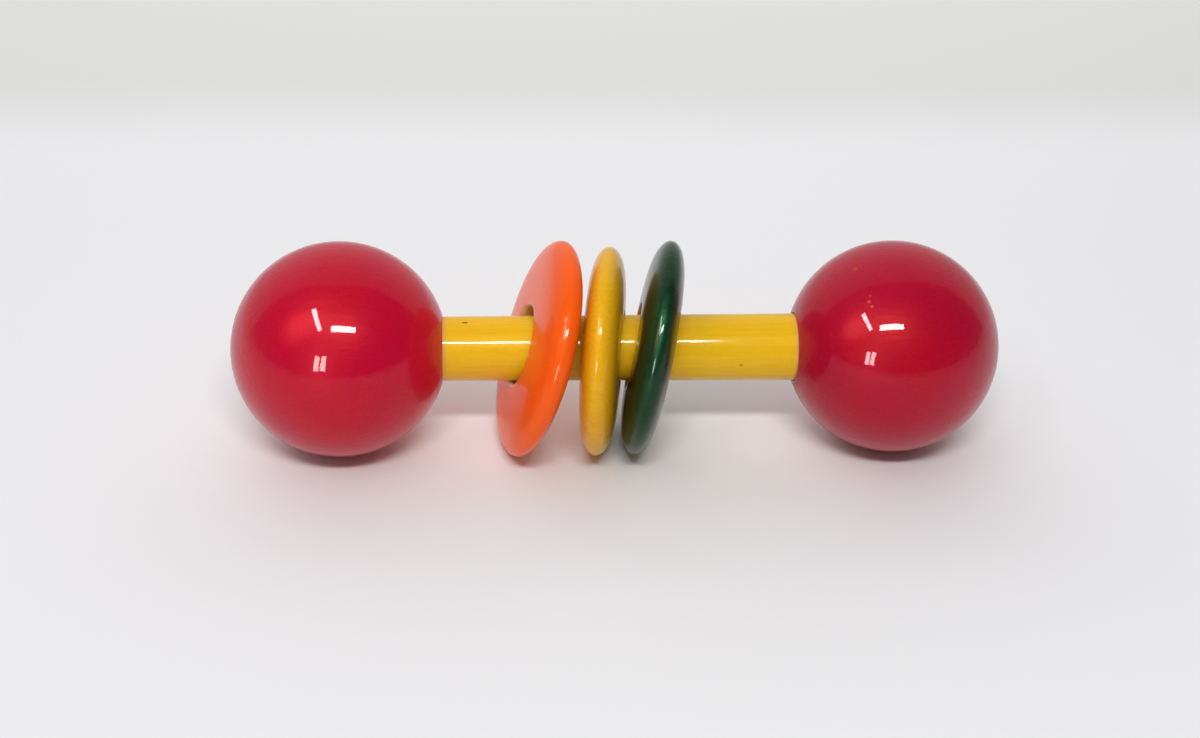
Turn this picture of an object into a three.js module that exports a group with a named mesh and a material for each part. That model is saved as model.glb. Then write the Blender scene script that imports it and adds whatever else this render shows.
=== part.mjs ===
// Wooden baby rattle: two lacquered balls on a rod, with three loose discs that slide and clack between them.
// Millimetres, +Z up. X runs along the rod towards the right ball, the table top is z = 0,
// and the origin lies on the table under the middle of the rattle.
import * as THREE from 'three';

// Driving sizes
const OVERALL_LENGTH = 130;
const BALL_DIAMETER = 36.2;
const ROD_LEFT_DIAMETER = 10.8;
const ROD_RIGHT_DIAMETER = 11.4;
const ROD_END_CHAMFER = 0.6;
const SOCKET_DEPTH = 12;
const ORANGE_DISC_DIAMETER = 37.3;
const YELLOW_DISC_DIAMETER = 35.4;
const GREEN_DISC_DIAMETER = 36.8;
const DISC_THICKNESS = 6.5;
const BORE_PLAY = 2.9;
const BORE_EDGE_ROUND = 0.6;

// Clearances
const SOCKET_GAP = 0.3;
const BORE_GAP = 0.3;
const TABLE_GAP = 0.1;

// Turned faces of a disc swell as 1 - (r / R)^n: a high power is flat in the middle and round at the rim
const DISC_FACE_POWER = 4.7;

// How each disc lies: tipped by a share of the angle at which its bore jams on the rod,
// towards a direction turned about the rod (0 leans the top to the right ball),
// and pushed along by a share of the free run that all the pieces leave between them
const DISCS = [
  {
    name: 'orange_disc', diameter: ORANGE_DISC_DIAMETER, colour: '#f4581f',
    tipShare: 0.97, tipTurn: 12, runShare: 0.345,
  },
  {
    name: 'yellow_disc', diameter: YELLOW_DISC_DIAMETER, colour: '#e3a82a',
    tipShare: 0.45, tipTurn: -85, runShare: 0.023,
  },
  {
    name: 'green_disc', diameter: GREEN_DISC_DIAMETER, colour: '#1f4a33',
    tipShare: 0.62, tipTurn: -41, runShare: 0.02,
  },
];
const BALL_COLOUR = '#b3122f';
const ROD_COLOUR = '#e4b12c';

// Facets: an even number of bands and segments leaves a flat at the lowest point of each ball
const BALL_BANDS = 20;
const TURNED_SEGMENTS = 44;
const DISC_FACE_STEPS = 8;
const EDGE_ROUND_STEPS = 3;
const SEARCH_STEPS = 48;

const ballRadius = BALL_DIAMETER / 2;
const ballCentre = OVERALL_LENGTH / 2 - ballRadius;
const rodHeight = ballRadius;
const boreRadius = (ROD_RIGHT_DIAMETER + BORE_PLAY) / 2;
const rodAxis = new THREE.Vector3(1, 0, 0);

// Lacquered wood: dyed shellac, polished on the lathe
function lacquer(colour) {
  return new THREE.MeshStandardMaterial({ color: colour, roughness: 0.18, metalness: 0 });
}

// Revolves points (radius, place along the axis) and lays the axis along X, with a facet facing down
function turned(profile) {
  const points = profile.map(([radius, along]) => new THREE.Vector2(radius, along));
  const geometry = new THREE.LatheGeometry(points, TURNED_SEGMENTS, Math.PI / TURNED_SEGMENTS);
  return geometry.rotateZ(-Math.PI / 2);
}

function piece(name, profile, colour) {
  const mesh = new THREE.Mesh(turned(profile), lacquer(colour));
  mesh.name = name;
  return mesh;
}

// A ball about its own centre: outer end, bands up to the mouth, then the blind socket back to the axis
function ballProfile(rodDiameter) {
  const socketRadius = rodDiameter / 2 + SOCKET_GAP;
  const band = Math.PI / BALL_BANDS;
  const mouthAngle = Math.PI - Math.asin(socketRadius / ballRadius);
  const cornerRadius = ballRadius / Math.cos(band / 2);
  const facetLift = 1 / Math.cos(Math.PI / TURNED_SEGMENTS);
  const profile = [[0, -ballRadius]];
  for (let angle = band / 2; angle < mouthAngle - band / 4; angle += band) {
    profile.push([cornerRadius * Math.sin(angle) * facetLift, -cornerRadius * Math.cos(angle)]);
  }
  profile.push([socketRadius, -ballRadius * Math.cos(mouthAngle)]);
  profile.push([socketRadius, ballRadius - SOCKET_DEPTH]);
  profile.push([0, ballRadius - SOCKET_DEPTH]);
  return profile;
}

function ball(name, rodDiameter, side) {
  const mesh = piece(name, ballProfile(rodDiameter), BALL_COLOUR);
  mesh.position.set(side * ballCentre, 0, rodHeight);
  mesh.rotation.z = side > 0 ? Math.PI : 0;
  return mesh;
}

// The rod tapers between the balls and runs straight inside the sockets
function rod() {
  const leftRadius = ROD_LEFT_DIAMETER / 2;
  const rightRadius = ROD_RIGHT_DIAMETER / 2;
  const end = ballCentre - ballRadius + SOCKET_DEPTH - SOCKET_GAP;
  const leftRoot = ballCentre - Math.sqrt(ballRadius ** 2 - leftRadius ** 2);
  const rightRoot = ballCentre - Math.sqrt(ballRadius ** 2 - rightRadius ** 2);
  const mesh = piece('rod', [
    [0, -end],
    [leftRadius - ROD_END_CHAMFER, -end],
    [leftRadius, -end + ROD_END_CHAMFER],
    [leftRadius, -leftRoot],
    [rightRadius, rightRoot],
    [rightRadius, end - ROD_END_CHAMFER],
    [rightRadius - ROD_END_CHAMFER, end],
    [0, end],
  ], ROD_COLOUR);
  mesh.position.z = rodHeight;
  return mesh;
}

// Half the thickness of a disc at a distance from its axis
function discHalfThickness(radius, discRadius) {
  return DISC_THICKNESS / 2 * Math.sqrt(Math.max(0, 1 - (radius / discRadius) ** DISC_FACE_POWER));
}

// One side of a disc, from the middle of its bore wall over the rounded bore edge and the face to the rim
function discHalfProfile(diameter) {
  const discRadius = diameter / 2;
  const edgeRadius = boreRadius + BORE_EDGE_ROUND;
  const edgeHeight = discHalfThickness(edgeRadius, discRadius);
  const half = [];
  for (let step = 0; step <= EDGE_ROUND_STEPS; step += 1) {
    const angle = step / EDGE_ROUND_STEPS * Math.PI / 2;
    const lift = edgeHeight - BORE_EDGE_ROUND + BORE_EDGE_ROUND * Math.sin(angle);
    half.push([edgeRadius - BORE_EDGE_ROUND * Math.cos(angle), lift]);
  }
  for (let step = 1; step <= DISC_FACE_STEPS; step += 1) {
    const towardsRim = Math.sin(step / DISC_FACE_STEPS * Math.PI / 2);
    const radius = edgeRadius + (discRadius - edgeRadius) * towardsRim;
    half.push([radius, discHalfThickness(radius, discRadius)]);
  }
  return half;
}

// Both sides of a disc as one closed outline
function discProfile(diameter) {
  const half = discHalfProfile(diameter);
  const otherHalf = half.map(([radius, along]) => [radius, -along]);
  const rim = half.length - 1;
  return [...otherHalf, ...half.slice(0, rim).reverse(), otherHalf[0]];
}

// Radius of the round rod that still passes through a disc's bore when the disc is tipped
function openingAtTip(half, tip) {
  const gaps = half.map(([radius, along]) => radius * Math.cos(tip) - along * Math.sin(tip));
  return Math.min(...gaps);
}

// The tip at which the bore comes within its gap of the rod, found by halving
function jamTip(half) {
  const needed = ROD_RIGHT_DIAMETER / 2 + BORE_GAP;
  let low = 0;
  let high = Math.PI / 3;
  for (let step = 0; step < SEARCH_STEPS; step += 1) {
    const middle = (low + high) / 2;
    if (openingAtTip(half, middle) > needed) {
      low = middle;
    } else {
      high = middle;
    }
  }
  return low;
}

// How far a disc's surface reaches from its centre along a unit direction
function discReach(disc, direction) {
  const along = Math.abs(disc.normal.dot(direction));
  const across = Math.sqrt(1 - along ** 2);
  return Math.max(...disc.half.map(([radius, lift]) => radius * across + lift * along));
}

function ballReach() {
  return ballRadius;
}

// Where a disc rests: on the table if its play allows, and rolled to the front until its bore meets the rod
function restingDisc({ name, diameter, tipShare, tipTurn, runShare, colour }) {
  const half = discHalfProfile(diameter);
  const tip = tipShare * jamTip(half);
  const turn = THREE.MathUtils.degToRad(tipTurn);
  const normal = new THREE.Vector3(
    Math.cos(tip),
    Math.sin(tip) * Math.sin(turn),
    -Math.sin(tip) * Math.cos(turn),
  );
  const disc = { name, diameter, colour, half, normal, runShare, reach: discReach };
  const play = openingAtTip(half, tip) - ROD_RIGHT_DIAMETER / 2 - BORE_GAP;
  const standing = discReach(disc, new THREE.Vector3(0, 0, -1)) + TABLE_GAP - rodHeight;
  const lift = THREE.MathUtils.clamp(standing, -play, play);
  const forward = Math.sqrt(Math.max(0, play ** 2 - lift ** 2));
  disc.centre = new THREE.Vector3(0, -forward, rodHeight + lift);
  return disc;
}

// Least distance along the rod between the centres of two rounded bodies that just touch:
// the smallest value, over the directions near the rod's, at which a plane still parts them
function touchDistance(left, right) {
  const widest = 0.75;
  const offset = right.centre.clone().sub(left.centre).setX(0);
  const direction = new THREE.Vector3();
  let least = Infinity;
  for (let row = -SEARCH_STEPS; row <= SEARCH_STEPS; row += 1) {
    for (let column = -SEARCH_STEPS; column <= SEARCH_STEPS; column += 1) {
      direction.set(1, widest * row / SEARCH_STEPS, widest * column / SEARCH_STEPS).normalize();
      const reach = left.reach(left, direction) + right.reach(right, direction);
      least = Math.min(least, (reach - offset.dot(direction)) / direction.x);
    }
  }
  return least;
}

// Spreads the discs along the rod: each stands off the piece on its left by its share of the free run
function spreadDiscs(discs) {
  const ballBody = { reach: ballReach, centre: new THREE.Vector3(0, 0, rodHeight) };
  const row = [ballBody, ...discs, ballBody];
  const touches = row.slice(1).map((body, index) => touchDistance(row[index], body));
  const freeRun = 2 * ballCentre - touches.reduce((sum, distance) => sum + distance, 0);
  let place = -ballCentre;
  discs.forEach((disc, index) => {
    place += touches[index] + disc.runShare * freeRun;
    disc.centre.x = place;
  });
}

function discMesh(disc) {
  const mesh = piece(disc.name, discProfile(disc.diameter), disc.colour);
  mesh.position.copy(disc.centre);
  mesh.quaternion.setFromUnitVectors(rodAxis, disc.normal);
  return mesh;
}

const discs = DISCS.map(restingDisc);
spreadDiscs(discs);

const rattle = new THREE.Group();
rattle.add(ball('left_ball', ROD_LEFT_DIAMETER, -1));
rattle.add(ball('right_ball', ROD_RIGHT_DIAMETER, 1));
rattle.add(rod());
discs.forEach((disc) => rattle.add(discMesh(disc)));

export default rattle;
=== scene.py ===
"""Wooden baby rattle: two lacquered balls on a turned rod, with three loose discs that slide and clack.

Sizes are in millimetres and meshes in metres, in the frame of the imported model: X runs along the rod
towards the right ball, Z is up and the table top is z = 0.
"""
import logging
import math
from dataclasses import dataclass
from enum import Enum
from typing import Any

import bmesh
import bpy
import numpy
from mathutils import Matrix, Quaternion, Vector

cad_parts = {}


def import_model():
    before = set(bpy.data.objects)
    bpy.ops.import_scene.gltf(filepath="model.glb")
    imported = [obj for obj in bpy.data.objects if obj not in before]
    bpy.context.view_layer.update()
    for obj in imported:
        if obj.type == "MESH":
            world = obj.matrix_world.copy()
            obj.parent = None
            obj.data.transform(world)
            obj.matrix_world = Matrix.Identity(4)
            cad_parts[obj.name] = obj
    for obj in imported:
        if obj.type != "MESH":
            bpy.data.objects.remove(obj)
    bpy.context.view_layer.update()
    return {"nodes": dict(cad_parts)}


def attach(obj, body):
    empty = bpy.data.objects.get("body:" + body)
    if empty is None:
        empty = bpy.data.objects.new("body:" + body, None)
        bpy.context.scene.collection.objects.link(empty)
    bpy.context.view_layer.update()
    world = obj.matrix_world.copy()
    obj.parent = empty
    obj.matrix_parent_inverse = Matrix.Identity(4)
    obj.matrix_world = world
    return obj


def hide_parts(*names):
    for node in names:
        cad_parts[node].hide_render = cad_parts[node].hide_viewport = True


MM = 0.001

Colour = tuple[float, float, float]
Place = tuple[float, float, float]
Step = tuple[float, float]
Profile = list[tuple[float, float]]
Socket = bpy.types.NodeSocket
Value = Socket | float
Tint = Socket | Colour

log = logging.getLogger("rattle")


class Side(Enum):
    """The end of the rod that a ball is glued to; the value is the sign of its place along X."""

    LEFT = -1
    RIGHT = 1


class Grain(Enum):
    """How strongly the wood shows through the lacquer."""

    HIDDEN = 0.12
    FAINT = 0.35
    CLEAR = 0.7


class NodeBench:
    """A short hand for laying out nodes in one tree."""

    def __init__(self, tree: bpy.types.NodeTree) -> None:
        """Keeps the tree that the nodes go into."""
        self.tree = tree
        self.column = 0

    def add(self, kind: str, inputs: dict[str | int, Any] | None = None, **settings: Any) -> bpy.types.Node:
        """Adds a node.

        Args:
            kind: The node's Blender type name.
            inputs: Values or output sockets for its inputs, by name or number.
            **settings: Properties to set on the node before its inputs.

        Returns:
            The new node.
        """
        node = self.tree.nodes.new(kind)
        node.location = (180 * self.column, -60 * (self.column % 5))
        self.column += 1
        for name, value in settings.items():
            setattr(node, name, value)
        for key, value in (inputs or {}).items():
            self.feed(node, key, value)
        return node

    def feed(self, node: bpy.types.Node, key: str | int, value: Any) -> None:
        """Sets one input of a node.

        Args:
            node: The node.
            key: The input's name or number.
            value: A plain value, or an output socket to link from.
        """
        socket = node.inputs[key]
        if isinstance(value, Socket):
            self.tree.links.new(value, socket)
        else:
            socket.default_value = value

    def math(self, operation: str, first: Value, second: Value = 0.0) -> Socket:
        """Adds a Math node.

        Args:
            operation: The Math node's operation.
            first: First value or socket.
            second: Second value or socket, where the operation has one.

        Returns:
            The result's socket.
        """
        return self.add("ShaderNodeMath", {0: first, 1: second}, operation=operation).outputs[0]

    def ramp(self, value: Socket, low: float, high: float) -> Socket:
        """A smooth step from 0 at low to 1 at high.

        Args:
            value: The socket to test.
            low: Where the step starts.
            high: Where the step ends; below low, the step falls.

        Returns:
            The step's socket.
        """
        numbers = {"Value": value, "From Min": low, "From Max": high}
        node = self.add("ShaderNodeMapRange", numbers, interpolation_type="SMOOTHSTEP")
        return node.outputs[0]

    def blend(self, share: Value, first: Tint, second: Tint) -> Socket:
        """Mixes two colours.

        Args:
            share: The share of the second colour, a number or a socket.
            first: A colour or a colour socket.
            second: A colour or a colour socket.

        Returns:
            The mixed colour's socket.
        """
        node = self.add("ShaderNodeMix", data_type="RGBA", clamp_factor=True)
        self.feed(node, 0, share)
        for key, colour in ((6, first), (7, second)):
            self.feed(node, key, colour if isinstance(colour, Socket) else (*colour, 1.0))
        return node.outputs[2]

    def noise(self, vector: Socket, scale: float, detail: float = 2.0, roughness: float = 0.5) -> Socket:
        """Adds a noise texture.

        Args:
            vector: The place to read it at.
            scale: Features per unit of the vector.
            detail: Octaves.
            roughness: Share of the finer octaves.

        Returns:
            The noise value's socket, about 0.5 on average.
        """
        numbers = {"Vector": vector, "Scale": scale, "Detail": detail, "Roughness": roughness}
        return self.add("ShaderNodeTexNoise", numbers).outputs["Fac"]

    def stretched(
        self, vector: Socket, scale: Place = (1.0, 1.0, 1.0), offset: Place = (0.0, 0.0, 0.0),
    ) -> Socket:
        """Scales and shifts a place.

        Args:
            vector: The place.
            scale: Factor along each axis.
            offset: Shift after scaling.

        Returns:
            The new place's socket.
        """
        numbers = {"Vector": vector, "Location": offset, "Scale": scale}
        return self.add("ShaderNodeMapping", numbers).outputs[0]

    def ragged(self, vector: Socket, scale: float, reach: float) -> Socket:
        """Noise about zero, to make an edge uneven.

        Args:
            vector: The place to read it at.
            scale: Features per unit of the vector.
            reach: The noise's full height.

        Returns:
            The noise's socket.
        """
        return self.math("MULTIPLY", self.math("SUBTRACT", self.noise(vector, scale), 0.5), reach)

    def part(self, vector: Socket, axis: str) -> Socket:
        """One part of a vector: X, Y or Z."""
        return self.add("ShaderNodeSeparateXYZ", {0: vector}).outputs[axis]

    def length(self, vector: Socket) -> Socket:
        """The length of a vector."""
        return self.add("ShaderNodeVectorMath", {0: vector}, operation="LENGTH").outputs["Value"]

    def surface(self) -> bpy.types.Node:
        """The tree's surface shader."""
        return next(node for node in self.tree.nodes if node.type == "BSDF_PRINCIPLED")

    def cover(self, share: Socket, colour: Tint) -> None:
        """Lays a colour over the one that the surface shader has.

        Args:
            share: How far it covers at each place.
            colour: The colour.
        """
        shader = self.surface()
        film = shader.inputs["Base Color"].links[0].from_socket
        self.feed(shader, "Base Color", self.blend(share, film, colour))


def grey(level: float) -> Colour:
    """A colour with the same level in each channel."""
    return (level, level, level)


@dataclass(frozen=True)
class Pose:
    """Where a turned piece stands: its centre in metres and the turn that lays X along its axis."""

    centre: Vector
    turn: Quaternion

    def mapping(self, bench: NodeBench) -> Socket:
        """Finds the piece's own coordinates.

        Args:
            bench: The material's bench.

        Returns:
            The place in millimetres from the piece's centre, X along its axis.
        """
        place = bench.add("ShaderNodeTexCoord").outputs["Object"]
        numbers = {"Vector": place, "Location": self.centre, "Rotation": self.turn.to_euler()}
        numbers["Scale"] = (MM, MM, MM)
        return bench.add("ShaderNodeMapping", numbers, vector_type="TEXTURE").outputs[0]


# The pattern in every lacquer, on the piece's own millimetres: long fibres, thin clouds and fine specks,
# with ripples and open pores in the surface. A step is where a share rises from none to all of it.
FIBRE_STRETCH: Place = (0.10, 1.5, 1.5)
FIBRE_STEP: Step = (0.42, 0.72)
CLOUD_SCALE = 0.085
CLOUD_STEP: Step = (0.42, 0.72)
CLOUD_SHARE = 0.55
SPECK_SCALE = 2.4
SPECK_STEP: Step = (0.45, 0.65)
# Painted shade on a disc's faces rises over this step of the distance from its middle plane.
FACE_SHADE_STEP: Step = (2.1, 3.0)
MARK_STEP: Step = (1.1, 0.7)
MARK_RAGGED = 0.8
PATTERN_SHIFT: Place = (37.0, 11.0, 5.0)
RIPPLE_SHIFT: Place = (3.0, 17.0, 7.0)
RIPPLE_SCALE = 0.22
RIPPLE_HEIGHT = 0.7
PORE_STRETCH: Place = (0.12, 1.4, 1.4)
PORE_HEIGHT = 0.05
FILM_ROUGHNESS = 0.42
COAT_IOR = 1.35


@dataclass(frozen=True)
class Spot:
    """A small mark on a piece; some stand for painted glints.

    Attributes:
        place: Its place in the piece's own millimetres.
        reach: Its half size along each axis.
        strength: How far it covers the film, from 0 to 1.
        colour: Its colour.
    """

    place: Place
    reach: Place
    strength: float
    colour: Colour = (0.10, 0.05, 0.015)


@dataclass(frozen=True)
class Lacquer:
    """A dyed shellac finish over turned wood, polished on the lathe.

    Attributes:
        slot: The name of a material slot for the finish; not used.
        main: The film's colour.
        dense: Its colour over dense grain and in the pigment specks.
        thin: Its colour where the film is thin.
        glow: Tint of the soft inner glow.
        glow_level: Strength of the glow.
        coat: Weight of the clear gloss.
        coat_roughness: Roughness of the clear gloss.
        grain: How much the wood shows.
        speckle: How much the pigment specks show.
        marks: Small marks, some of them painted glints.
        face: Colour of a disc's flat faces, where it differs from the rim's: painted shade that darkens the
            faces.
    """

    slot: str
    main: Colour
    dense: Colour
    thin: Colour
    glow: Colour
    glow_level: float
    coat: float
    coat_roughness: float
    grain: Grain
    speckle: float
    marks: tuple[Spot, ...] = ()
    face: Colour | None = None

    def material(self, name: str, pose: Pose, seed: float) -> bpy.types.Material:
        """Makes the finish for one piece.

        Args:
            name: The material's name.
            pose: The piece's place, so that the grain follows its axis.
            seed: Shifts the pattern, so that no two pieces match.

        Returns:
            The material, with the colour still open for a bare-wood mask.
        """
        made = bpy.data.materials.new(name)
        made.use_nodes = True
        bench = NodeBench(made.node_tree)
        made.node_tree.nodes.clear()
        place = pose.mapping(bench)
        colour = self.film_colour(bench, place, seed)
        self.shade(bench, place, colour, seed)
        return made

    def film_colour(self, bench: NodeBench, place: Socket, seed: float) -> Socket:
        """Lays the grain, the uneven film, the pigment specks, the painted shade of a disc's faces and the
        marks, some of them painted glints, over each other.

        Args:
            bench: The material's bench.
            place: The piece's own millimetres.
            seed: Shifts the pattern.

        Returns:
            The film's colour.
        """
        offset = tuple(seed * shift for shift in PATTERN_SHIFT)
        shifted = bench.stretched(place, offset=offset)
        fibres = bench.noise(bench.stretched(shifted, FIBRE_STRETCH), 1.0, detail=4.0, roughness=0.6)
        clouds = bench.noise(shifted, CLOUD_SCALE, detail=3.0, roughness=0.55)
        specks = bench.noise(shifted, SPECK_SCALE, roughness=0.6)
        fibre_share = bench.math("MULTIPLY", bench.ramp(fibres, *FIBRE_STEP), self.grain.value)
        colour = bench.blend(fibre_share, self.main, self.dense)
        cloud_share = bench.math("MULTIPLY", bench.ramp(clouds, *CLOUD_STEP), CLOUD_SHARE)
        colour = bench.blend(cloud_share, colour, self.thin)
        speck_share = bench.math("MULTIPLY", bench.ramp(specks, *SPECK_STEP), self.speckle)
        colour = bench.blend(speck_share, colour, self.dense)
        # Painted shade: the flat faces of a disc, away from its middle plane, take the darker face colour.
        if self.face:
            from_middle = bench.math("ABSOLUTE", bench.part(place, "X"))
            colour = bench.blend(bench.ramp(from_middle, *FACE_SHADE_STEP), colour, self.face)
        for mark in self.marks:
            colour = bench.blend(self.mark_share(bench, place, mark), colour, mark.colour)
        return colour

    def mark_share(self, bench: NodeBench, place: Socket, mark: Spot) -> Socket:
        """How far a mark covers the film at each place.

        Args:
            bench: The material's bench.
            place: The piece's own millimetres.
            mark: The mark.

        Returns:
            The share, from 0 to the mark's strength.
        """
        scale = tuple(1.0 / reach for reach in mark.reach)
        offset = tuple(-at / reach for at, reach in zip(mark.place, mark.reach))
        distance = bench.length(bench.stretched(place, scale, offset))
        distance = bench.math("ADD", distance, bench.ragged(place, SPECK_SCALE, MARK_RAGGED))
        return bench.math("MULTIPLY", bench.ramp(distance, *MARK_STEP), mark.strength)

    def shade(self, bench: NodeBench, place: Socket, colour: Socket, seed: float) -> None:
        """Adds the shader: the dyed film, a soft inner glow and a hard clear gloss with faint ripples.

        Args:
            bench: The material's bench.
            place: The piece's own millimetres.
            colour: The surface colour's socket.
            seed: Shifts the ripples.
        """
        offset = tuple(seed * shift for shift in RIPPLE_SHIFT)
        shifted = bench.stretched(place, offset=offset)
        ripples = bench.noise(shifted, RIPPLE_SCALE, roughness=0.4)
        pores = bench.noise(bench.stretched(shifted, PORE_STRETCH), 1.0, detail=3.0)
        ripple_height = bench.math("MULTIPLY", ripples, RIPPLE_HEIGHT)
        height = bench.math("ADD", ripple_height, bench.math("MULTIPLY", pores, PORE_HEIGHT))
        relief = bench.add("ShaderNodeBump", {"Height": height, "Strength": 0.25, "Distance": 0.00012})
        inner = bench.add("ShaderNodeBump", {"Height": pores, "Strength": 0.3, "Distance": 0.0002})
        shader = bench.add("ShaderNodeBsdfPrincipled")
        values = {
            "Base Color": colour,
            "Roughness": FILM_ROUGHNESS,
            "Specular IOR Level": self.glow_level,
            "Specular Tint": (*self.glow, 1.0),
            "Coat Weight": self.coat,
            "Coat Roughness": self.coat_roughness,
            "Coat IOR": COAT_IOR,
            "Normal": inner.outputs[0],
            "Coat Normal": relief.outputs[0],
        }
        for key, value in values.items():
            bench.feed(shader, key, value)
        bench.add("ShaderNodeOutputMaterial", {"Surface": shader.outputs[0]})


CRIMSON = Lacquer(
    slot="crimson_lacquer",
    main=(0.54, 0.002, 0.028),
    dense=(0.36, 0.003, 0.036),
    thin=(0.60, 0.005, 0.016),
    glow=(1.0, 0.12, 0.08),
    glow_level=0.35,
    coat=0.6,
    coat_roughness=0.03,
    grain=Grain.HIDDEN,
    speckle=0.45,
)
DEEP_CRIMSON = Lacquer(
    slot="crimson_lacquer",
    main=(0.45, 0.002, 0.026),
    dense=(0.30, 0.002, 0.032),
    thin=(0.48, 0.004, 0.012),
    glow=(1.0, 0.12, 0.08),
    glow_level=0.35,
    coat=0.6,
    coat_roughness=0.03,
    grain=Grain.HIDDEN,
    speckle=0.45,
    marks=(
        # The three bright orange specks beside the lamp's highlight are lacquer pits with their glint painted
        # in; the fourth, faint dot is a real mark.
        Spot((7.05, 9.46, 13.72), (0.30, 0.30, 0.45), 0.5, (0.80, 0.16, 0.06)),
        Spot((6.68, 10.33, 13.28), (0.25, 0.25, 0.45), 0.5, (0.80, 0.16, 0.06)),
        Spot((6.80, 8.69, 14.35), (0.22, 0.22, 0.30), 0.4, (0.75, 0.12, 0.05)),
        Spot((8.24, 2.17, 15.97), (0.45, 0.45, 0.45), 0.25, (0.75, 0.12, 0.05)),
    ),
)
GOLDEN = Lacquer(
    slot="yellow_lacquer",
    main=(0.86, 0.50, 0.008),
    dense=(0.68, 0.37, 0.007),
    thin=(0.88, 0.53, 0.012),
    glow=(1.0, 0.75, 0.25),
    glow_level=0.2,
    coat=0.55,
    coat_roughness=0.06,
    grain=Grain.FAINT,
    speckle=0.12,
    marks=(
        Spot((-25.96, -0.75, 5.4), (0.55, 0.22, 0.6), 0.9),
        Spot((20.24, -5.59, -0.32), (0.35, 0.6, 0.35), 0.4),
    ),
)
AMBER = Lacquer(
    slot="yellow_lacquer",
    main=(0.86, 0.43, 0.007),
    dense=(0.54, 0.23, 0.005),
    thin=(0.86, 0.46, 0.012),
    glow=(1.0, 0.72, 0.22),
    glow_level=0.2,
    coat=0.55,
    coat_roughness=0.04,
    grain=Grain.FAINT,
    speckle=0.12,
)
ORANGE = Lacquer(
    slot="orange_lacquer",
    main=(0.98, 0.112, 0.006),
    dense=(0.90, 0.085, 0.004),
    thin=(0.98, 0.135, 0.010),
    glow=(1.0, 0.35, 0.15),
    glow_level=0.15,
    coat=0.58,
    coat_roughness=0.03,
    grain=Grain.HIDDEN,
    speckle=0.05,
)
GREEN = Lacquer(
    slot="green_lacquer",
    main=(0.004, 0.027, 0.009),
    dense=(0.0015, 0.005, 0.003),
    thin=(0.009, 0.056, 0.016),
    glow=(0.25, 1.0, 0.45),
    glow_level=0.3,
    coat=0.6,
    coat_roughness=0.03,
    grain=Grain.CLEAR,
    speckle=0.2,
    # Painted shade: the green disc's faces are darker than its rim, as shade between the discs.
    face=(0.0012, 0.003, 0.0015),
)
BARE_WOOD: Colour = (0.78, 0.52, 0.24)
WORN_EDGE: Colour = (0.78, 0.42, 0.095)
STAINED_WOOD: Colour = (0.50, 0.27, 0.10)


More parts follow.
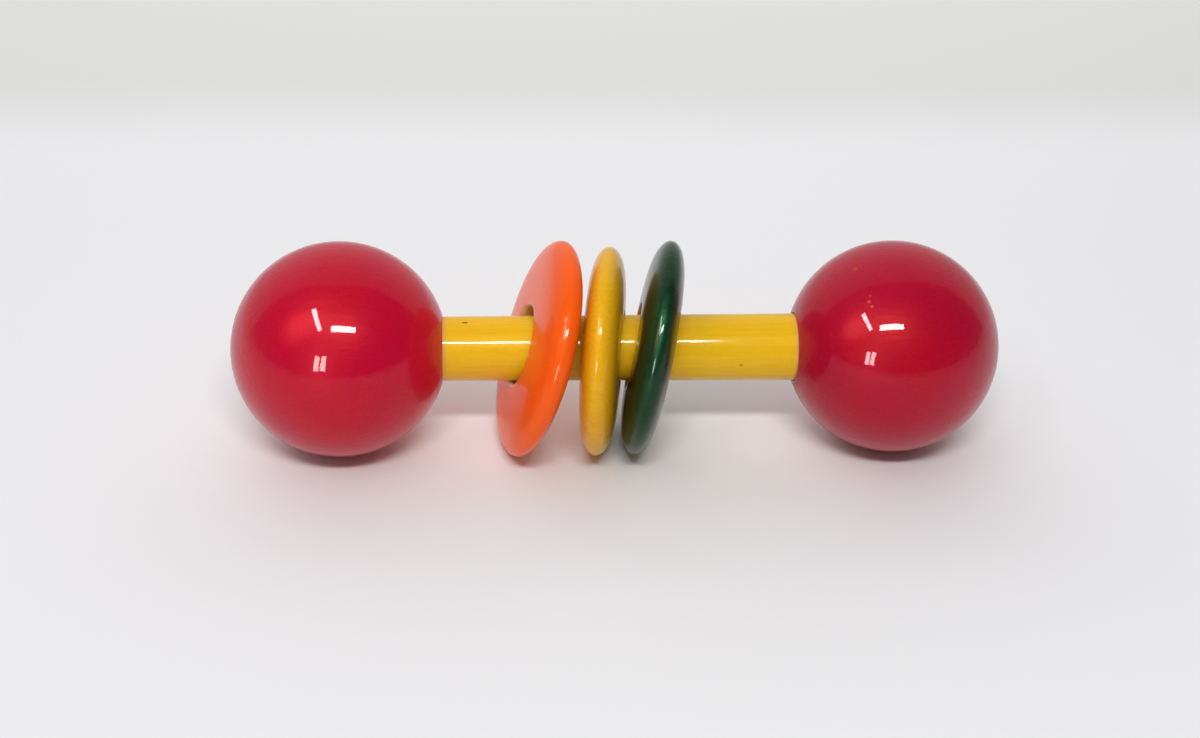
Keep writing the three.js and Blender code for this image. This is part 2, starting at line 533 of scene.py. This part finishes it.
class TurningTree:
    """The lathe: a node tree that turns a profile about X and sets the piece in its place."""

    def __init__(self) -> None:
        """Builds the tree with its named inputs."""
        self.tree = bpy.data.node_groups.new("Turned on the lathe", "GeometryNodeTree")
        self.keys: dict[str, str] = {}
        face = self.tree.interface
        face.new_socket("Geometry", in_out="INPUT", socket_type="NodeSocketGeometry")
        for name, kind in (
            ("Segments", "NodeSocketInt"),
            ("Centre", "NodeSocketVector"),
            ("Turn", "NodeSocketVector"),
            ("Finish", "NodeSocketMaterial"),
        ):
            socket = face.new_socket(name, in_out="INPUT", socket_type=kind)
            self.keys[name] = socket.identifier
        face.new_socket("Geometry", in_out="OUTPUT", socket_type="NodeSocketGeometry")
        self.lay_out()

    def lay_out(self) -> None:
        """Adds the nodes: a sheet of rows and columns, rolled round the axis row by row."""
        bench = NodeBench(self.tree)
        given = bench.add("NodeGroupInput").outputs
        rows = bench.add("GeometryNodeAttributeDomainSize", {0: given["Geometry"]}).outputs["Point Count"]
        columns = bench.math("ADD", given["Segments"], 1.0)
        sheet = bench.add("GeometryNodeMeshGrid", {"Vertices X": rows, "Vertices Y": columns}).outputs["Mesh"]
        index = bench.add("GeometryNodeInputIndex").outputs[0]
        row = bench.math("FLOOR", bench.math("DIVIDE", bench.math("ADD", index, 0.5), columns))
        column = bench.math("SUBTRACT", index, bench.math("MULTIPLY", row, columns))
        position = bench.add("GeometryNodeInputPosition").outputs[0]
        read = bench.add("GeometryNodeSampleIndex", data_type="FLOAT_VECTOR", domain="POINT")
        bench.feed(read, "Geometry", given["Geometry"])
        bench.feed(read, "Value", position)
        bench.feed(read, "Index", row)
        point = bench.add("ShaderNodeSeparateXYZ", {0: read.outputs[0]}).outputs
        angle = bench.math("MULTIPLY", bench.math("DIVIDE", column, given["Segments"]), math.tau)
        across = bench.math("MULTIPLY", point["Z"], bench.math("SINE", angle))
        upward = bench.math("MULTIPLY", point["Z"], bench.math("COSINE", angle))
        rolled = bench.add("ShaderNodeCombineXYZ", {"X": point["X"], "Y": across, "Z": upward}).outputs[0]
        shape = bench.add("GeometryNodeSetPosition", {"Geometry": sheet, "Position": rolled}).outputs[0]
        shape = bench.add("GeometryNodeMergeByDistance", {"Geometry": shape, "Distance": 1e-7}).outputs[0]
        move = {"Geometry": shape, "Translation": given["Centre"], "Rotation": given["Turn"]}
        shape = bench.add("GeometryNodeTransform", move).outputs[0]
        shape = bench.add("GeometryNodeSetShadeSmooth", {"Geometry": shape}).outputs[0]
        shape = bench.add("GeometryNodeRealizeInstances", {"Geometry": shape}).outputs[0]
        dressed = bench.add("GeometryNodeSetMaterial", {"Geometry": shape, "Material": given["Finish"]})
        bench.add("NodeGroupOutput", {0: dressed.outputs[0]})

    def turn(
        self, name: str, profile: Profile, segments: int, pose: Pose, finish: bpy.types.Material,
    ) -> bpy.types.Object:
        """Turns one piece.

        Args:
            name: The new object's name.
            profile: Points (place along the axis, radius) in millimetres, in order.
            segments: Facets round the axis.
            pose: Where the piece stands.
            finish: Its material.

        Returns:
            The piece as a plain mesh at the origin, its place in its mesh.
        """
        blank = bpy.data.meshes.new(name + "_profile")
        points = [(along * MM, 0.0, radius * MM) for along, radius in profile]
        blank.from_pydata(points, [(step, step + 1) for step in range(len(points) - 1)], [])
        lathe = bpy.data.objects.new(name + "_profile", blank)
        bpy.context.collection.objects.link(lathe)
        modifier = lathe.modifiers.new("turning", "NODES")
        modifier.node_group = self.tree
        modifier[self.keys["Segments"]] = segments
        modifier[self.keys["Centre"]] = pose.centre
        modifier[self.keys["Turn"]] = Vector(pose.turn.to_euler())
        modifier[self.keys["Finish"]] = finish
        evaluated = lathe.evaluated_get(bpy.context.evaluated_depsgraph_get())
        mesh = bpy.data.meshes.new_from_object(evaluated)
        bpy.data.objects.remove(lathe)
        bpy.data.meshes.remove(blank)
        mesh.name = name
        self.face_outwards(mesh)
        piece = bpy.data.objects.new(name, mesh)
        bpy.context.collection.objects.link(piece)
        return piece

    @staticmethod
    def face_outwards(mesh: bpy.types.Mesh) -> None:
        """Turns every face of a closed mesh outwards.

        Args:
            mesh: The mesh.
        """
        shell = bmesh.new()
        shell.from_mesh(mesh)
        bmesh.ops.recalc_face_normals(shell, faces=shell.faces)
        shell.to_mesh(mesh)
        shell.free()


def place_piece(piece: bpy.types.Object, node: str, body: str) -> None:
    """Sets a piece in for its solid and reports it.

    Args:
        piece: The dressed piece.
        node: The solid that it stands for.
        body: The body that it rides on.
    """
    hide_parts(node)
    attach(piece, body)
    log.info("%s: %d faces on %s", piece.name, len(piece.data.polygons), body)


def arc(centre: tuple[float, float], radius: float, start: float, end: float, steps: int) -> Profile:
    """Points on an arc of a profile.

    Args:
        centre: The arc's middle, as (along, radius).
        radius: The arc's own radius.
        start: Angle of the first point, in degrees from the axis.
        end: Angle of the last point.
        steps: Number of spaces between points.

    Returns:
        The points, both ends included.
    """
    points = []
    for step in range(steps + 1):
        angle = math.radians(start + (end - start) * step / steps)
        points.append((centre[0] + radius * math.cos(angle), centre[1] + radius * math.sin(angle)))
    return points


@dataclass
class Handle:
    """The rod and the two balls that are glued on its ends, with all sizes in millimetres."""

    overall_length: float = 130.0
    ball_diameter: float = 36.2
    rod_left_diameter: float = 10.8
    rod_right_diameter: float = 11.4
    rod_end_chamfer: float = 0.6
    socket_depth: float = 12.0
    socket_gap: float = 0.12
    end_gap: float = 0.3
    mouth_round: float = 0.25
    bare_left: float = 0.5
    bare_right: float = 0.3
    bare_blur: float = 0.1
    bare_ragged: float = 0.25
    bare_share: float = 0.85
    ball_bands: int = 112
    mouth_steps: int = 4
    rod_steps: int = 96
    segments: int = 144

    @property
    def ball_radius(self) -> float:
        """Radius of a ball."""
        return self.ball_diameter / 2

    @property
    def ball_centre(self) -> float:
        """Distance of a ball's centre from the middle of the rattle."""
        return self.overall_length / 2 - self.ball_radius

    def rod_radius(self, side: Side) -> float:
        """Radius of the rod at one end."""
        return (self.rod_left_diameter if side is Side.LEFT else self.rod_right_diameter) / 2

    def root(self, side: Side) -> float:
        """Distance from the middle of the rattle at which the rod enters a ball."""
        return self.ball_centre - math.sqrt(self.ball_radius ** 2 - self.rod_radius(side) ** 2)

    def ball_profile(self, side: Side) -> Profile:
        """A ball's outline from its outer end over the mouth to the bottom of the socket.

        Args:
            side: The ball's end of the rod.

        Returns:
            Points about the ball's centre, the mouth towards +X.
        """
        radius = self.ball_radius
        socket = self.rod_radius(side) + self.socket_gap
        edge = self.mouth_round
        mouth = math.degrees(math.asin((socket + edge) / radius))
        profile = arc((0.0, 0.0), radius, 180.0, mouth, self.ball_bands)
        profile[0] = (-radius, 0.0)
        rim = (math.cos(math.radians(mouth)) * radius - edge, socket + edge)
        profile += arc(rim, edge, 0.0, -90.0, self.mouth_steps)[1:]
        floor = radius - self.socket_depth
        profile += [(floor, socket), (floor, 0.0)]
        return profile

    def rod_profile(self) -> Profile:
        """The rod's outline, tapered between the balls and straight inside the sockets.

        Returns:
            Points about the middle of the rattle, from the left end to the right end.
        """
        left = self.rod_radius(Side.LEFT)
        right = self.rod_radius(Side.RIGHT)
        chamfer = self.rod_end_chamfer
        end = self.ball_centre - self.ball_radius + self.socket_depth - self.end_gap
        start, stop = -self.root(Side.LEFT), self.root(Side.RIGHT)
        profile = [(-end, 0.0), (-end, left - chamfer), (-end + chamfer, left)]
        for step in range(self.rod_steps + 1):
            share = step / self.rod_steps
            profile.append((start + (stop - start) * share, left + (right - left) * share))
        profile += [(end - chamfer, right), (end, right - chamfer), (end, 0.0)]
        return profile

    def ball_pose(self, side: Side) -> Pose:
        """Where a ball stands.

        Args:
            side: The ball's end of the rod.

        Returns:
            The ball's pose, its mouth turned to the middle.
        """
        centre = Vector((side.value * self.ball_centre, 0.0, self.ball_radius)) * MM
        turn = Quaternion((0.0, 0.0, 1.0), 0.0 if side is Side.LEFT else math.pi)
        return Pose(centre, turn)

    def rod_pose(self) -> Pose:
        """Where the rod stands."""
        return Pose(Vector((0.0, 0.0, self.ball_radius)) * MM, Quaternion())

    def bare_ends(self, rod: bpy.types.Material) -> None:
        """Leaves the rod's wood bare in a narrow ring at each ball.

        Args:
            rod: The rod's material.
        """
        bench = NodeBench(rod.node_tree)
        place = self.rod_pose().mapping(bench)
        ragged = bench.ragged(place, scale=0.6, reach=self.bare_ragged)
        along = bench.math("ADD", bench.part(place, "X"), ragged)
        left_edge = -self.root(Side.LEFT) + self.bare_left
        right_edge = self.root(Side.RIGHT) - self.bare_right
        left = bench.ramp(along, left_edge + self.bare_blur, left_edge - self.bare_blur)
        right = bench.ramp(along, right_edge - self.bare_blur, right_edge + self.bare_blur)
        share = bench.math("MULTIPLY", bench.math("MAXIMUM", left, right), self.bare_share)
        bench.cover(share, WORN_EDGE)

    def build(self, lathe: TurningTree) -> None:
        """Turns and dresses the rod and both balls.

        Args:
            lathe: The turning tree.
        """
        balls = ((Side.LEFT, "left_ball", CRIMSON, 1.0), (Side.RIGHT, "right_ball", DEEP_CRIMSON, 2.3))
        for side, name, lacquer, seed in balls:
            pose = self.ball_pose(side)
            finish = lacquer.material("crimson_" + name, pose, seed)
            ball = lathe.turn("turned_" + name, self.ball_profile(side), self.segments, pose, finish)
            place_piece(ball, name, "handle")
        finish = GOLDEN.material("golden_rod", self.rod_pose(), 3.1)
        self.bare_ends(finish)
        rod = lathe.turn("turned_rod", self.rod_profile(), self.segments, self.rod_pose(), finish)
        place_piece(rod, "rod", "handle")


@dataclass
class LooseDisc:
    """One loose disc: a turned lens with a wide bore, tipped on the rod where the frame has it.

    All sizes are in millimetres. The faces swell as a power of the distance from the axis.
    """

    node: str
    body: str
    diameter: float
    bore_diameter: float
    finish: Lacquer
    seed: float
    thickness: float = 6.5
    bore_edge_round: float = 0.8
    face_power: float = 4.7
    bare_width: float = 0.6
    bare_blur: float = 0.15
    bare_ragged: float = 0.3
    wall_steps: int = 4
    edge_steps: int = 6
    face_steps: int = 40
    segments: int = 160

    def half_thickness(self, radius: float) -> float:
        """Half the disc's thickness at a distance from its axis."""
        share = min(1.0, radius / (self.diameter / 2)) ** self.face_power
        return self.thickness / 2 * math.sqrt(1.0 - share)

    def half_profile(self) -> Profile:
        """One side of the disc.

        Returns:
            Points from the middle of the bore wall over the rounded edge and the face to the rim.
        """
        rim = self.diameter / 2
        edge = self.bore_diameter / 2 + self.bore_edge_round
        lift = self.half_thickness(edge) - self.bore_edge_round
        half = [(lift * step / self.wall_steps, self.bore_diameter / 2) for step in range(self.wall_steps)]
        half += self.edge_round(lift, edge)
        for step in range(1, self.face_steps + 1):
            radius = edge + (rim - edge) * math.sin(step / self.face_steps * math.pi / 2)
            half.append((self.half_thickness(radius), radius))
        return half

    def edge_round(self, lift: float, edge: float) -> Profile:
        """The rounded edge of the bore.

        Args:
            lift: Where the rounding starts, along the axis.
            edge: Where it ends, as a distance from the axis.

        Returns:
            Points from the bore wall to the face.
        """
        points = []
        for step in range(self.edge_steps + 1):
            angle = math.pi / 2 * step / self.edge_steps
            along = lift + self.bore_edge_round * math.sin(angle)
            points.append((along, edge - self.bore_edge_round * math.cos(angle)))
        return points

    def profile(self) -> Profile:
        """The whole outline.

        Returns:
            A closed loop, from the middle of the bore wall round the rim and back.
        """
        half = self.half_profile()
        other = [(-along, radius) for along, radius in reversed(half[:-1])]
        return half + other

    def pose(self, solid: bpy.types.Object) -> Pose:
        """Where the disc stands, read from its solid.

        Args:
            solid: The frame's solid of this disc.

        Returns:
            The solid's centre, and the turn that lays X along its thin direction.
        """
        points = numpy.array([vertex.co for vertex in solid.data.vertices])
        centre = points.mean(axis=0)
        normal = Vector(numpy.linalg.svd(points - centre, full_matrices=False)[2][2])
        if normal.x < 0.0:
            normal.negate()
        return Pose(Vector(centre), Vector((1.0, 0.0, 0.0)).rotation_difference(normal))

    def bare_bore(self, finish: bpy.types.Material, pose: Pose) -> None:
        """Leaves the wood of the bore bare, stained by the rod's rubbing.

        Args:
            finish: The disc's material.
            pose: The disc's place.
        """
        bench = NodeBench(finish.node_tree)
        place = pose.mapping(bench)
        radius = bench.length(bench.stretched(place, (0.0, 1.0, 1.0)))
        radius = bench.math("ADD", radius, bench.ragged(place, scale=0.9, reach=self.bare_ragged))
        edge = self.bore_diameter / 2 + self.bare_width
        share = bench.ramp(radius, edge + self.bare_blur, edge - self.bare_blur)
        wood = bench.blend(bench.noise(place, scale=0.5), BARE_WOOD, STAINED_WOOD)
        bench.cover(share, wood)

    def build(self, lathe: TurningTree, solid: bpy.types.Object) -> None:
        """Turns and dresses the disc.

        Args:
            lathe: The turning tree.
            solid: The frame's solid of this disc.
        """
        pose = self.pose(solid)
        finish = self.finish.material("lacquer_" + self.node, pose, self.seed)
        self.bare_bore(finish, pose)
        disc = lathe.turn("turned_" + self.node, self.profile(), self.segments, pose, finish)
        place_piece(disc, self.node, self.body)


LAMP_FADE_STEP: Step = (0.5, 0.05)


class LampUse(Enum):
    """What a lamp does: light surfaces, or shine in the gloss."""

    LIGHT = "light"
    SHINE = "shine"


@dataclass(frozen=True)
class StripLamp:
    """A strip of light that faces the rattle.

    Attributes:
        name: The lamp's name.
        first: One end of the strip, in millimetres.
        second: The other end, in millimetres.
        width: The strip's width, in millimetres.
        brightness: How bright its surface is.
        use: Whether it lights surfaces or shines in the gloss.
        soft: Whether its light fades from its middle to its edges.
        colour: The light's colour.
    """

    name: str
    first: Place
    second: Place
    width: float
    brightness: float
    use: LampUse
    soft: bool = False
    colour: Colour = (1.0, 1.0, 1.0)

    def build(self, target: Vector) -> None:
        """Hangs the strip.

        Args:
            target: The place that it faces, in metres.
        """
        first, second = Vector(self.first) * MM, Vector(self.second) * MM
        middle = (first + second) / 2
        back = (middle - target).normalized()
        along = second - first
        along = (along - back * along.dot(back)).normalized()
        data = bpy.data.lights.new(self.name, "AREA")
        data.shape = "RECTANGLE"
        data.color = self.colour
        data.size = (second - first).length
        data.size_y = self.width * MM
        data.energy = self.brightness * math.pi * data.size * data.size_y
        lamp = bpy.data.objects.new(self.name, data)
        turn = Matrix((along, back.cross(along), back)).transposed()
        lamp.matrix_world = Matrix.Translation(middle) @ turn.to_4x4()
        lamp.visible_camera = False
        lamp.visible_diffuse = self.use is LampUse.LIGHT
        lamp.visible_glossy = self.use is LampUse.SHINE
        bpy.context.collection.objects.link(lamp)
        if self.soft:
            self.fade(data)

    @staticmethod
    def fade(data: bpy.types.Light) -> None:
        """Lets a strip's light fade from its middle to its edges.

        Args:
            data: The strip's light.
        """
        data.use_nodes = True
        bench = NodeBench(data.node_tree)
        emission = next(node for node in data.node_tree.nodes if node.type == "EMISSION")
        place = bench.add("ShaderNodeNewGeometry").outputs["Parametric"]
        middle = {0: place, 1: (0.5, 0.5, 0.0)}
        distance = bench.add("ShaderNodeVectorMath", middle, operation="DISTANCE").outputs["Value"]
        bench.feed(emission, "Strength", bench.ramp(distance, *LAMP_FADE_STEP))


@dataclass
class Studio:
    """The pale table, the light tent round it, the lamps and the camera.

    The table's sizes and steps are in metres, and places of lamps and camera in millimetres. The tent's
    steps are parts of the direction looked in, and its levels are plain brightness.
    """

    table_half: float = 3.0
    table_colour: Colour = (0.84, 0.84, 0.855)
    # The far colour is painted shade: the table turns darker further back, where a backdrop would bend up.
    table_far_shade_colour: Colour = (0.73, 0.73, 0.725)
    table_far_shade_step: Step = (0.12, 0.17)
    table_fade_step: Step = (0.45, 0.27)
    table_roughness: float = 0.9
    backdrop_colour: Colour = (0.78, 0.78, 0.795)
    horizon_step: Step = (0.01, -0.01)
    tent_level: float = 0.56
    tent_step: Step = (-0.14, 0.10)
    front_level: float = 0.22
    ceiling_level: float = 0.62
    ceiling_step: Step = (0.5, 0.85)
    right_dimming: float = 0.5
    right_step: Step = (-0.2, 0.7)
    mirrored_tent_level: float = 0.5
    mirrored_tent_step: Step = (0.12, 0.24)
    mirrored_tent_bow: float = 0.15
    mirrored_room_level: float = 0.03
    camera_place: Place = (-27.854, -284.043, 178.552)
    camera_heading: float = -5.0
    camera_tilt: float = 60.0
    camera_roll: float = 2.14
    lens: float = 57.9
    sensor_width: float = 36.0
    lamp_target: Place = (0.0, 0.0, 18.0)
    lamps: tuple[StripLamp, ...] = (
        StripLamp("front_light", (-182.0, -470.0, 573.0), (127.0, -460.0, 553.0), 60.0, 45.0, LampUse.LIGHT),
        StripLamp("left_light", (-395.0, -212.0, 673.0), (-305.0, -470.0, 518.0), 40.0, 8.0, LampUse.LIGHT),
        StripLamp("back_wall", (-350.0, 320.0, 200.0), (350.0, 320.0, 200.0), 400.0, 0.85, LampUse.LIGHT),
        StripLamp("front_tube", (-73.0, -187.0, 239.0), (51.0, -183.0, 231.0), 31.0, 70.0, LampUse.SHINE),
        StripLamp("left_tube", (-158.0, -84.0, 279.0), (-125.0, -179.0, 222.0), 22.0, 56.0, LampUse.SHINE),
        StripLamp(
            "warm_wall", (-100.0, -115.0, 265.0), (-335.0, -125.0, 147.0), 200.0, 9.5, LampUse.SHINE,
            soft=True, colour=(1.0, 0.13, 0.11),
        ),
        StripLamp("left_pane", (-136.0, -239.0, 115.0), (-144.0, -253.0, 45.0), 24.0, 34.0, LampUse.SHINE),
        StripLamp("right_pane", (-104.0, -247.0, 119.0), (-115.0, -262.0, 49.0), 24.0, 34.0, LampUse.SHINE),
    )

    def build_table(self) -> None:
        """Lays the table top, which fades out well away from the rattle and turns darker further back, as
        painted shade where a backdrop would bend up.
        """
        half = self.table_half
        mesh = bpy.data.meshes.new("table_top")
        corners = [(-half, -half, 0.0), (half, -half, 0.0), (half, half, 0.0), (-half, half, 0.0)]
        mesh.from_pydata(corners, [], [(0, 1, 2, 3)])
        table = bpy.data.objects.new("table_top", mesh)
        bpy.context.collection.objects.link(table)
        paper = bpy.data.materials.new("pale_paper")
        paper.use_nodes = True
        bench = NodeBench(paper.node_tree)
        shader = bench.surface()
        place = bench.add("ShaderNodeTexCoord").outputs["Object"]
        far_shade = bench.ramp(bench.part(place, "Y"), *self.table_far_shade_step)
        bench.feed(shader, "Base Color", bench.blend(far_shade, self.table_colour, self.table_far_shade_colour))
        bench.feed(shader, "Alpha", bench.ramp(bench.length(place), *self.table_fade_step))
        bench.feed(shader, "Roughness", self.table_roughness)
        bench.feed(shader, "Specular IOR Level", 0.0)
        mesh.materials.append(paper)

    def lit_tent(self, bench: NodeBench, towards: Socket) -> Socket:
        """The tent as it lights surfaces: soft at its edge, and dimmer to the right.

        Args:
            bench: The world's bench.
            towards: The direction looked in.

        Returns:
            The light from there.
        """
        upward = bench.part(towards, "Z")
        below = bench.ramp(upward, *self.horizon_step)
        inside = bench.math("MAXIMUM", bench.ramp(bench.part(towards, "Y"), *self.tent_step), below)
        overhead = bench.ramp(upward, *self.ceiling_step)
        front = bench.blend(overhead, grey(self.front_level), grey(self.ceiling_level))
        light = bench.blend(inside, front, grey(self.tent_level))
        dimming = {0: light, "Scale": self.right_dimming}
        dimmed = bench.add("ShaderNodeVectorMath", dimming, operation="SCALE").outputs[0]
        return bench.blend(bench.ramp(bench.part(towards, "X"), *self.right_step), light, dimmed)

    def mirrored_tent(self, bench: NodeBench, towards: Socket) -> Socket:
        """The tent as the gloss mirrors it: sharper at its bowed edge, with the dark room in front.

        Args:
            bench: The world's bench.
            towards: The direction looked in.

        Returns:
            The light from there.
        """
        below = bench.ramp(bench.part(towards, "Z"), *self.horizon_step)
        sideways = bench.math("ABSOLUTE", bench.part(towards, "X"))
        bow = bench.math("MULTIPLY", sideways, self.mirrored_tent_bow)
        depth = bench.math("SUBTRACT", bench.part(towards, "Y"), bow)
        inside = bench.math("MAXIMUM", bench.ramp(depth, *self.mirrored_tent_step), below)
        return bench.blend(inside, grey(self.mirrored_room_level), grey(self.mirrored_tent_level))

    def build_world(self) -> None:
        """Hangs the tent: as surfaces, the gloss and the camera see it."""
        world = bpy.data.worlds.new("light_tent")
        bpy.context.scene.world = world
        world.use_nodes = True
        world.node_tree.nodes.clear()
        bench = NodeBench(world.node_tree)
        towards = bench.add("ShaderNodeTexCoord").outputs["Generated"]
        rays = bench.add("ShaderNodeLightPath").outputs
        lit = self.lit_tent(bench, towards)
        mirrored = self.mirrored_tent(bench, towards)
        light = bench.blend(rays["Is Glossy Ray"], lit, mirrored)
        light = bench.blend(rays["Is Camera Ray"], light, self.backdrop_colour)
        shine = bench.add("ShaderNodeBackground", {"Color": light, "Strength": 1.0}).outputs[0]
        bench.add("ShaderNodeOutputWorld", {"Surface": shine})

    def build_camera(self) -> None:
        """Sets the camera at the viewing place."""
        data = bpy.data.cameras.new("viewer")
        data.sensor_fit = "HORIZONTAL"
        data.sensor_width = self.sensor_width
        data.lens = self.lens
        data.clip_start = 0.01
        camera = bpy.data.objects.new("viewer", data)
        heading = Matrix.Rotation(math.radians(self.camera_heading), 4, "Z")
        tilt = Matrix.Rotation(math.radians(self.camera_tilt), 4, "X")
        roll = Matrix.Rotation(math.radians(self.camera_roll), 4, "Z")
        place = Matrix.Translation(Vector(self.camera_place) * MM)
        camera.matrix_world = place @ heading @ tilt @ roll
        bpy.context.collection.objects.link(camera)
        bpy.context.scene.camera = camera

    def build(self) -> None:
        """Sets up the whole studio."""
        self.build_camera()
        self.build_table()
        self.build_world()
        for lamp in self.lamps:
            lamp.build(Vector(self.lamp_target) * MM)
        bpy.context.scene.view_settings.view_transform = "Standard"
        log.info("studio: %d lamps", len(self.lamps))


def main() -> None:
    """Builds the rattle and its studio."""
    logging.basicConfig(level=logging.INFO, format="%(name)s %(message)s")
    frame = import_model()
    Studio().build()
    lathe = TurningTree()
    Handle().build(lathe)
    discs = (
        LooseDisc("orange_disc", "orange", 37.3, 13.3, ORANGE, 4.7),
        LooseDisc("yellow_disc", "yellow", 35.4, 13.6, AMBER, 5.9),
        LooseDisc("green_disc", "green", 36.8, 13.8, GREEN, 7.1),
    )
    for disc in discs:
        disc.build(lathe, frame["nodes"][disc.node])
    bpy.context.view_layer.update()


if __name__ == "__main__":
    main()
